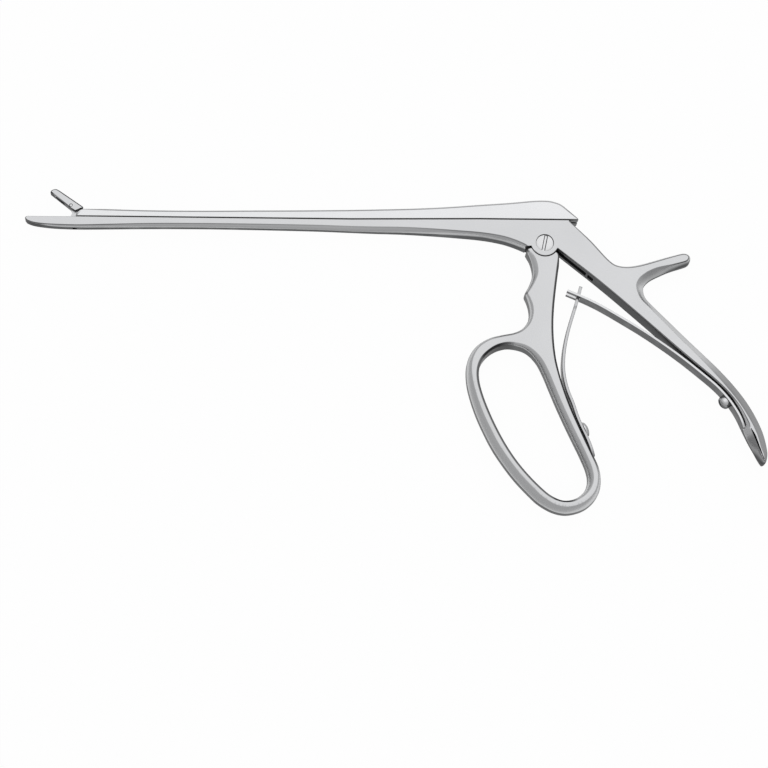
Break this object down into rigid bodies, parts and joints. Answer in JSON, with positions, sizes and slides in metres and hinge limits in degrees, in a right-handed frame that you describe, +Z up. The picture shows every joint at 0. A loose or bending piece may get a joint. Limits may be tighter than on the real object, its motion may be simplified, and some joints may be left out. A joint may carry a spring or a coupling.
{
  "type": "disc rongeur",
  "caption": "Long-shaft bone and disc rongeur with a sliding upper bar, hinged cup jaw, ring handle, palm handle with thumb horn and linked leaf springs.",
  "frame": {"origin": "on the pivot axis, at the resting side of the instrument", "axes": "+X from the jaws towards the handles' end, +Y from the handles towards the slide, +Z up from the resting side, along the pivot axis"},
  "size_m": [0.2856, 0.1291, 0.008],
  "materials": {
    "satin_steel": "fine satin stainless steel",
    "polished_steel": "polished stainless steel"
  },
  "bodies": {
    "fixed_body": {"shaft_and_palm_handle": "satin_steel", "pivot_screw": "polished_steel", "jaw_hinge_pin": "polished_steel", "rear_leaf_spring": "polished_steel", "rear_spring_screw": "polished_steel"},
    "handle": {"ring_handle": "satin_steel", "front_leaf_spring": "polished_steel", "front_spring_screw": "polished_steel"},
    "slide": {"top_slide": "satin_steel", "jaw_link_pin": "polished_steel"},
    "jaw": {"upper_jaw": "satin_steel", "jaw_tongue": "satin_steel", "jaw_rivet": "polished_steel"}
  },
  "joints": [
    {"name": "handle_pivot", "type": "hinge", "parent": "fixed_body", "child": "handle", "pos_m": [0, 0, 0.004], "axis": [0, 0, 1], "range_deg": [0, 12.5], "stiffness_Nm_per_rad": 1, "deforming": ["rear_leaf_spring", "front_leaf_spring"]},
    {"name": "slide_travel", "type": "slide", "parent": "fixed_body", "child": "slide", "axis": [-1, 0, 0], "range_m": [0, 0.0026]},
    {"name": "jaw_hinge", "type": "hinge", "parent": "fixed_body", "child": "jaw", "pos_m": [-0.181, 0.0072, 0.004], "axis": [0, 0, 1], "range_deg": [0, 40]}
  ],
  "couplings": [
    {"joint": "slide_travel", "follows": "handle_pivot", "m_per_rad": 0.011915},
    {"joint": "jaw_hinge", "follows": "handle_pivot", "ratio": 3.2}
  ]
}
